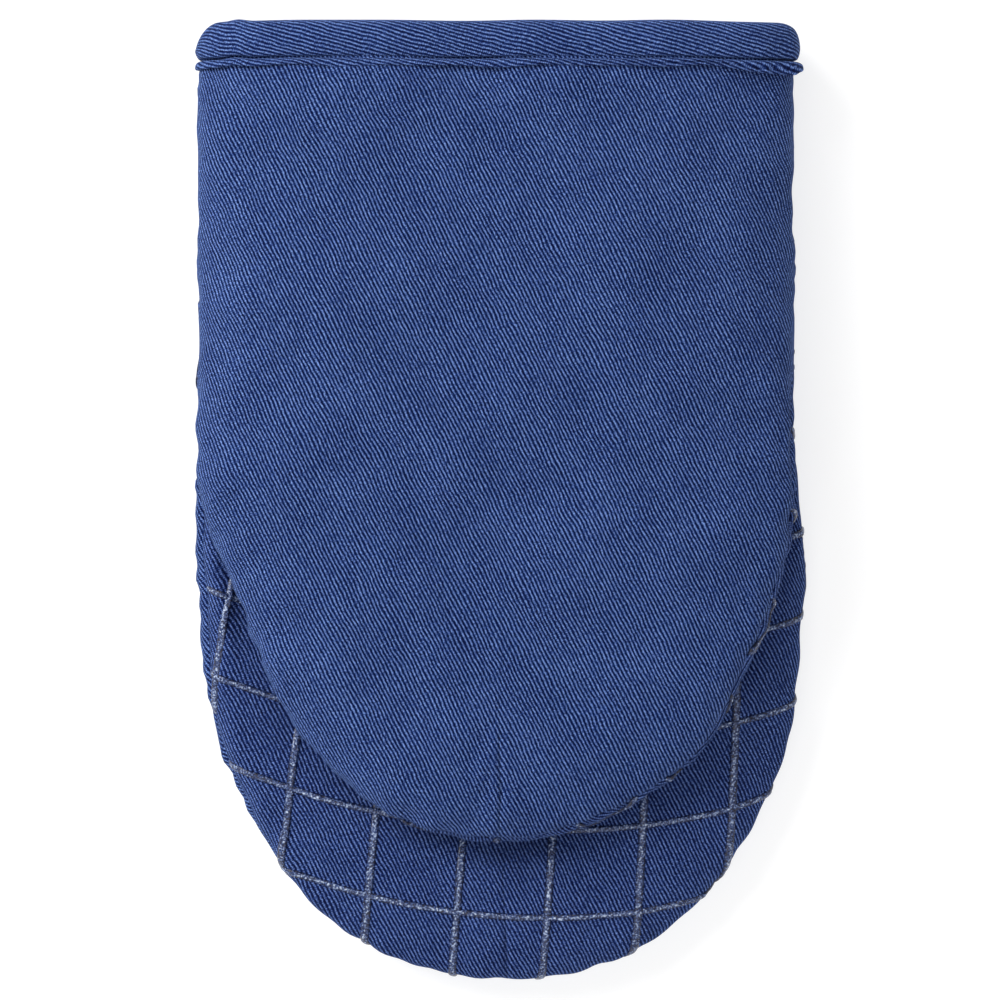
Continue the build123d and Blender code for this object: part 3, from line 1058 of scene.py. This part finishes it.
# %% [markdown]
# ## The cuff binding
# A strip cut on the bias is folded over the cuff's raw edge and sewn through, so a narrow lip stands free
# below the stitches. A bevelled tube would miss that lip and the groove of the stitches. So the section is
# drawn once, rounded by cutting its corners, and swept round the cuff's own oval. The lip's edge wanders,
# and it sags and curls where the strip's ends meet.


# %% Section of the binding
def cut_corners(points, times):
    """Rounds a closed outline by Chaikin's corner cutting."""
    p = np.array(points, float)
    for _ in range(times):
        after = np.roll(p, -1, axis=0)
        p = np.stack([0.75 * p + 0.25 * after, 0.25 * p + 0.75 * after], axis=1).reshape(-1, 2)
    return p


STITCH_LINE = 8.5
LIP = [(10.1, 0.3), (10.55, 0.6), (10.5, 1.15), (9.9, 1.3), (9.2, 0.95)]
FRONT_GROOVE = [(8.75, 0.2), (8.7, -1.2), (8.5, -1.5), (8.35, -1.2), (8.3, 0.1)]
RIM_OUTSIDE = [(7.7, 0.55), (5.8, 1.0), (3.6, 0.9), (1.8, 0.5), (0.5, -0.35), (0.0, -1.9), (0.5, -3.45)]
INSIDE_WALL = [(1.8, -4.1), (5.0, -4.2), (8.0, -4.0), (8.6, -3.7), (9.2, -4.05), (10.2, -4.1)]
INSIDE_HEM = [(10.5, -3.7), (10.1, -3.3), (8.6, -3.1), (5.0, -3.45), (2.0, -3.35)]
RIM_INSIDE = [(0.9, -2.6), (0.7, -1.9), (0.9, -1.2), (2.0, -0.45), (3.8, 0.0), (5.8, 0.0)]
UNDER_LIP = [(7.1, -0.4), (7.8, -1.4), (8.4, -1.9), (9.0, -1.6), (9.2, -0.4), (9.6, 0.15)]
BINDING_SECTION = LIP + FRONT_GROOVE + RIM_OUTSIDE + INSIDE_WALL + INSIDE_HEM + RIM_INSIDE + UNDER_LIP


def cuff_ring(y, count):
    """The sleeve's oval at one height: points and outward directions, from the left seam."""
    quarters = []
    shares = np.linspace(0, 1, count + 1)
    for side, face in ((-1, "front"), (1, "front"), (1, "back"), (-1, "back")):
        edge, middle = edge_and_middle(FINGER_HALF, side, y, 0.0)
        reach = abs(edge[0] - middle[0])
        d, z, _ = row_section(FACES[face], FACES[face], 0.0, sleeve_seam_z(y), y, reach, 0.0, shares)
        points = np.column_stack([edge[0] - side * d, z])
        quarters.append(points)
    loop = np.vstack([quarters[0][:-1], quarters[1][:0:-1], quarters[2][:-1], quarters[3][:0:-1]])
    tangent = np.roll(loop, -1, axis=0) - np.roll(loop, 1, axis=0)
    normal = np.column_stack([-tangent[:, 1], tangent[:, 0]])
    normal /= np.linalg.norm(normal, axis=1, keepdims=True)
    return loop, normal


def rim_y(x, is_front):
    """The height of the rim along the cuff: the back stands a little higher right of the middle."""
    wave = 0.18 * ripple(x, x * 0, 26, 71 if is_front else 72)
    back_peek = 0.0 if is_front else 0.75 * soft_step(x, 4, 14) * (1 - soft_step(x, 42, 54))
    tuft = 0.45 * soft_bump(x, -59, 2.2) if is_front else 0.0
    return CUFF_Y - 1.1 + wave + back_peek + tuft


# %% Sweep the binding
RING_COUNT = 75
LIP_SAG = 1.5


def swept_binding():
    """Corner grid of the binding: one ring of the section for each step round the cuff."""
    section = cut_corners(BINDING_SECTION, 2)
    heights = np.linspace(HEM_Y - 4, CUFF_Y, 14)
    loops = [cuff_ring(y, RING_COUNT) for y in heights]
    base = np.array([loop for loop, _ in loops])
    facing = np.array([normal for _, normal in loops])
    path = np.concatenate([[0], np.cumsum(np.linalg.norm(np.diff(base[-1], axis=0), axis=1))])
    profile_length = np.concatenate([[0], np.cumsum(np.linalg.norm(np.diff(section, axis=0), axis=1))])
    rings, flat = [], []
    for k in range(4 * RING_COUNT):
        x = float(base[-1][k, 0])
        is_front = k < 2 * RING_COUNT
        top = float(rim_y(np.array([x]), is_front)[0])
        lip = 0.22 * math.sin(path[k] / 5.3) + 0.16 * math.sin(path[k] / 2.9 + 1.0)
        at_end = 1 - 0.9 * float(soft_step(x, 64.6, 66.3))
        sag = LIP_SAG * float(soft_step(x, 44, 65)) * at_end if is_front else 0.0
        curl = float(soft_bump(x, HALF_WIDTH - 2.0, 2.6)) if is_front else 0.0
        wide = 0.8 * float(soft_step(x, HALF_WIDTH - 6, HALF_WIDTH - 2))
        slim = 0.6 * float(soft_step(-x, 57, 67))
        double = 0.8 * float(soft_step(x, -10, 46) * soft_step(-x, -66, -61)) if is_front else 0.0
        pucker = 0.13 * math.sin(path[k] * 2 * math.pi / 3.4)
        pucker += 0.09 * math.sin(path[k] * 2 * math.pi / 7.7)
        ring = []
        for a, b in section:
            beyond = float(soft_step(a, STITCH_LINE, 10.2))
            on_top = b > -2
            below_rim = a + (lip + sag) * beyond if on_top else a
            near_stitch = math.exp(-(((a - STITCH_LINE + 1.8) / 2.0) ** 2))
            out = b + wide * (1 - 0.6 * float(soft_step(a, 8, 10))) - slim * (1 + 0.5 * beyond * (b > 0))
            out -= double * math.exp(-(((a - 9.8) / 0.22) ** 2)) if b > 0 else 0
            rolled_end = 0.9 * curl * math.exp(-(((a - 9.6) / 0.9) ** 4))
            out += (pucker * (near_stitch + 0.8 * beyond) + rolled_end) if on_top else 0
            y = top - below_rim
            px, pz = (np.interp(y, heights, base[:, k, i]) for i in (0, 1))
            nx, nz = (np.interp(y, heights, facing[:, k, i]) for i in (0, 1))
            rounded = float(corner_drop(np.array(px), CUFF_Y)) * (1 - float(soft_step(a, 0.5, 8.0)))
            ring.append((px + nx * out, y - rounded, max(pz + nz * out, FLOOR_CLEARANCE)))
        rings.append(ring)
        flat.append([(path[k], s) for s in profile_length])
    return np.array(rings), np.array(flat)


def closed_tube(name, rings, flat):
    """Joins rings of corners into a tube that closes on itself both ways."""
    stations, size = rings.shape[:2]
    step_u = flat[1][0][0] - flat[0][0][0]
    faces, uv = [], []
    for k in range(stations):
        after = (k + 1) % stations
        for j in range(size):
            j2 = (j + 1) % size
            faces.append((k * size + j, k * size + j2, after * size + j2, after * size + j))
            u0, u1 = flat[k][j][0], flat[k][j][0] + step_u
            v0 = flat[k][j][1]
            v1 = flat[k][j2][1] if j2 else v0 + 0.2
            uv.extend([(u0, v0), (u0, v1), (u1, v1), (u1, v0)])
    mesh = bpy.data.meshes.new(name)
    mesh.from_pydata((rings.reshape(-1, 3) * MM).tolist(), [], faces)
    mesh.uv_layers.new(name="pattern").data.foreach_set("uv", (np.array(uv) * MM).ravel())
    close_mesh(mesh)
    return new_piece(name, mesh)


binding_rings, binding_flat = swept_binding()
binding = closed_tube("cuff_binding_cloth", binding_rings, binding_flat)
binding.data.materials.append(BINDING_CLOTH)
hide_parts("cuff_binding")
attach(binding, ROOT)

# %% [markdown]
# ## Stitches
# A sewing machine repeats one stitch. Hundreds of copies placed by hand would be slow to change. Geometry
# Nodes walks along each seam line, puts a short rounded stitch at every step, turns it along the line and
# face up to the cloth, and varies its size a little.

# %% Thread material
def thread_material():
    s = Shader("navy_sewing_thread")
    place = s.node("ShaderNodeTexCoord").outputs["Object"]
    twist = s.noise(place, 3000, 2.0)
    colour = s.ramp(twist, [(0.3, srgb(8, 14, 42)), (0.7, srgb(30, 42, 86))])
    s.bump(twist, 0.5, 0.0001)
    return s.finish(Base_Color=colour, Roughness=0.6, Specular_IOR_Level=0.35)


THREAD = thread_material()


# %% Stitch tree
def stitch_tree():
    """A node group that sews stitches along a line whose 'facing' attribute says where the cloth faces."""
    tree = bpy.data.node_groups.new("sewn_stitches", "GeometryNodeTree")
    face = tree.interface
    face.new_socket("Geometry", in_out="INPUT", socket_type="NodeSocketGeometry")
    names = {}
    for name in ("Stitch Pitch", "Stitch Length", "Thread Diameter", "Lean"):
        names[name] = face.new_socket(name, in_out="INPUT", socket_type="NodeSocketFloat").identifier
    names["Seed"] = face.new_socket("Seed", in_out="INPUT", socket_type="NodeSocketInt").identifier
    face.new_socket("Geometry", in_out="OUTPUT", socket_type="NodeSocketGeometry")
    new, link = tree.nodes.new, tree.links.new
    given, result = new("NodeGroupInput"), new("NodeGroupOutput")
    line = new("GeometryNodeMeshToCurve")
    steps = new("GeometryNodeResampleCurve")
    steps.mode = "LENGTH"
    link(given.outputs["Geometry"], line.inputs["Mesh"])
    link(line.outputs["Curve"], steps.inputs["Curve"])
    link(given.outputs["Stitch Pitch"], steps.inputs["Length"])
    ball = new("GeometryNodeMeshUVSphere")
    ball.inputs["Segments"].default_value = 10
    ball.inputs["Rings"].default_value = 6
    ball.inputs["Radius"].default_value = 0.5
    size = new("ShaderNodeCombineXYZ")
    link(given.outputs["Stitch Length"], size.inputs["X"])
    link(given.outputs["Thread Diameter"], size.inputs["Y"])
    link(given.outputs["Thread Diameter"], size.inputs["Z"])
    shape = new("GeometryNodeTransform")
    link(ball.outputs["Mesh"], shape.inputs["Geometry"])
    link(size.outputs[0], shape.inputs["Scale"])
    tangent = new("GeometryNodeInputTangent")
    along = new("FunctionNodeAlignRotationToVector")
    along.axis = "X"
    link(tangent.outputs[0], along.inputs["Vector"])
    facing = new("GeometryNodeInputNamedAttribute")
    facing.data_type = "FLOAT_VECTOR"
    facing.inputs["Name"].default_value = "facing"
    upright = new("FunctionNodeAlignRotationToVector")
    upright.axis, upright.pivot_axis = "Z", "X"
    link(along.outputs[0], upright.inputs["Rotation"])
    link(facing.outputs["Attribute"], upright.inputs["Vector"])
    turn = new("FunctionNodeRotateRotation")
    turn.rotation_space = "LOCAL"
    lean = new("ShaderNodeCombineXYZ")
    link(given.outputs["Lean"], lean.inputs["Z"])
    link(upright.outputs[0], turn.inputs["Rotation"])
    link(lean.outputs[0], turn.inputs["Rotate By"])
    vary = new("FunctionNodeRandomValue")
    vary.data_type = "FLOAT_VECTOR"
    vary.inputs["Min"].default_value = (0.9, 0.85, 0.85)
    vary.inputs["Max"].default_value = (1.06, 1.1, 1.1)
    link(given.outputs["Seed"], vary.inputs["Seed"])
    sew = new("GeometryNodeInstanceOnPoints")
    link(steps.outputs["Curve"], sew.inputs["Points"])
    link(shape.outputs["Geometry"], sew.inputs["Instance"])
    link(turn.outputs[0], sew.inputs["Rotation"])
    link(vary.outputs[0], sew.inputs["Scale"])
    real = new("GeometryNodeRealizeInstances")
    dye = new("GeometryNodeSetMaterial")
    dye.inputs["Material"].default_value = THREAD
    link(sew.outputs["Instances"], real.inputs["Geometry"])
    link(real.outputs["Geometry"], dye.inputs["Geometry"])
    link(dye.outputs["Geometry"], result.inputs["Geometry"])
    return tree, names


STITCH_TREE, STITCH_INPUTS = stitch_tree()


def sew(name, lines, pitch, length, diameter, lean, seed):
    """Stitches along lines of (point, outward direction), as one plain mesh."""
    corners, facing, edges = [], [], []
    for points, normals, closed in lines:
        start = len(corners)
        corners.extend((np.array(points) * MM).tolist())
        facing.extend(np.array(normals).tolist())
        edges.extend((k, k + 1) for k in range(start, len(corners) - 1))
        if closed:
            edges.append((len(corners) - 1, start))
    mesh = bpy.data.meshes.new(name + "_line")
    mesh.from_pydata(corners, edges, [])
    mesh.attributes.new("facing", "FLOAT_VECTOR", "POINT").data.foreach_set("vector", np.ravel(facing))
    line = new_piece(name + "_line", mesh)
    modifier = line.modifiers.new("stitches", "NODES")
    modifier.node_group = STITCH_TREE
    given = {
        "Stitch Pitch": pitch * MM, "Stitch Length": length * MM, "Thread Diameter": diameter * MM,
        "Lean": math.radians(lean), "Seed": seed,
    }
    for label, value in given.items():
        modifier[STITCH_INPUTS[label]] = value
    ready = line.evaluated_get(bpy.context.evaluated_depsgraph_get())
    sewn = bpy.data.meshes.new_from_object(ready)
    bpy.data.objects.remove(line)
    sewn.name = name
    for polygon in sewn.polygons:
        polygon.use_smooth = True
    print(name, "faces", len(sewn.polygons))
    return new_piece(name, sewn)


# %% Seam lines
def edge_line(panel, from_row, to_row, side, sink):
    """The seam at one border of a panel's grid, sunk a little into the groove."""
    points, _, normals = face_grids[panel]
    column = 0 if side < 0 else -1
    rows = slice(from_row, to_row)
    return points[rows, column] - normals[rows, column] * sink, normals[rows, column]


def round_the_tip(panel, from_row, sink):
    left, left_n = edge_line(panel, from_row, None, -1, sink)
    right, right_n = edge_line(panel, from_row, -1, 1, sink)
    return np.vstack([left, right[::-1]]), np.vstack([left_n, right_n[::-1]]), False


back_rows = face_grids["back"][0]
crotch_row = int(np.argmin(np.abs(back_rows[:, 0, 1] - CROTCH_Y)))
hem_row = int(np.argmin(np.abs(back_rows[:, 0, 1] - (HEM_Y - 1))))
SEAM_SINK, SIDE_SINK = 0.15, 0.35
FIRST_STITCH_ROW = 12
finger_line = round_the_tip("finger_grip", FIRST_STITCH_ROW, SEAM_SINK)
finger_seam = sew(
    "finger_seam_stitches", [finger_line], pitch=2.4, length=0.8, diameter=0.28, lean=72, seed=1
)
thumb_line = round_the_tip("thumb_grip", FIRST_STITCH_ROW, SEAM_SINK)
thumb_seam = sew(
    "thumb_seam_stitches", [thumb_line], pitch=2.4, length=0.8, diameter=0.28, lean=72, seed=2
)
side_lines = [(*edge_line("back", hem_row, crotch_row - 2, side, SIDE_SINK), False) for side in (-1, 1)]
side_seams = sew(
    "side_seam_stitches", side_lines, pitch=2.4, length=0.7, diameter=0.25, lean=72, seed=3
)


# %% Binding stitches
def section_index_near(a, b):
    """The corner of the rounded section that lies nearest to one place of it."""
    corners = cut_corners(BINDING_SECTION, 2)
    return int(np.argmin(np.abs(corners[:, 0] - a) + np.abs(corners[:, 1] - b)))


def binding_line(section_index, lift, away):
    """The ring of binding corners at one place of its section, lifted off the cloth, out or in."""
    ring = binding_rings[:, section_index]
    around = np.gradient(ring, axis=0)
    across = binding_rings[:, section_index + 1] - binding_rings[:, section_index - 1]
    normal = np.cross(around, across)
    normal /= np.linalg.norm(normal, axis=1, keepdims=True)
    centre = ring.mean(axis=0)
    outward = away * np.sign(np.sum(normal * (ring - centre), axis=1, keepdims=True))
    return ring + normal * outward * lift, normal * outward, True


outer_groove = section_index_near(8.5, -1.3)
inner_groove = section_index_near(8.6, -3.75)
binding_lines = [binding_line(outer_groove, 0.12, 1), binding_line(inner_groove, 0.1, -1)]
binding_stitches = sew(
    "binding_stitches", binding_lines, pitch=2.9, length=2.3, diameter=0.4, lean=0, seed=4
)

for piece, node in (
    (finger_seam, "finger_seam_thread"), (side_seams, "side_seam_threads"),
    (binding_stitches, "binding_thread"), (thumb_seam, "thumb_seam_thread"),
):
    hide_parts(node)
    if piece is thumb_seam:
        bend_with_thumb(piece)
    else:
        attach(piece, ROOT)

# %% [markdown]
# ## What is cloth and what is padding
# Each twill and lining panel is a sheet cut from flat cloth, and each batting is a soft pad.


# %% [markdown]
# ## Floor, light and camera
# A mitt for sale is shown on a light table. A pale floor and a broad light from the upper left show the
# weave without hard shadows, where a small lamp would leave black ones. The camera looks straight down from
# far away, so the mitt's outline is nearly free of perspective.

# %% Stage and lights
scene = bpy.context.scene
scene.view_settings.view_transform = "Standard"
scene.view_settings.look = "None"
FLOOR_GLOW = 0.69
ROOM_LIGHT = 0.34


def floor_material():
    """A light table: mostly a matt white surface, with a little glow of its own that thins the shadow."""
    s = Shader("pale_floor")
    grain = s.noise(s.node("ShaderNodeTexCoord").outputs["Object"], 40, 2.0)
    return s.finish(
        Base_Color=s.ramp(grain, [(0.0, srgb(176, 176, 176)), (1.0, srgb(180, 180, 180))]), Roughness=0.9,
        Specular_IOR_Level=0.1, Emission_Color=(1, 1, 1, 1), Emission_Strength=FLOOR_GLOW,
    )


bpy.ops.mesh.primitive_plane_add(size=6, location=(0, 0, 0))
floor = bpy.context.object
floor.name = "pale_floor"
floor.data.materials.append(floor_material())


def soft_light(name, place, size, power):
    """A square area light that looks at the mitt."""
    data = bpy.data.lights.new(name, "AREA")
    data.shape, data.size, data.energy = "SQUARE", size, power
    lamp = bpy.data.objects.new(name, data)
    lamp.location = place
    lamp.rotation_euler = (-Vector(place)).to_track_quat("-Z", "Y").to_euler()
    scene.collection.objects.link(lamp)


soft_light("upper_left_softbox", (-0.95, 0.8, 0.95), 0.9, 23.5)
soft_light("overhead_fill", (0.0, -0.8, 1.55), 1.5, 12)
world = bpy.data.worlds.new("white_room")
world.use_nodes = True
room = world.node_tree.nodes["Background"]
room.inputs["Color"].default_value = (1, 1, 1, 1)
room.inputs["Strength"].default_value = ROOM_LIGHT
scene.world = world

# %% Camera
VIEW_WIDTH = 0.225
LENS, SENSOR = 200.0, 36.0
camera_data = bpy.data.cameras.new("overhead_camera")
camera_data.lens, camera_data.sensor_width = LENS, SENSOR
camera = bpy.data.objects.new("overhead_camera", camera_data)
camera.location = (0.0002, 0.0, VIEW_WIDTH * LENS / SENSOR + HINGE_Z * MM)
scene.collection.objects.link(camera)
scene.camera = camera
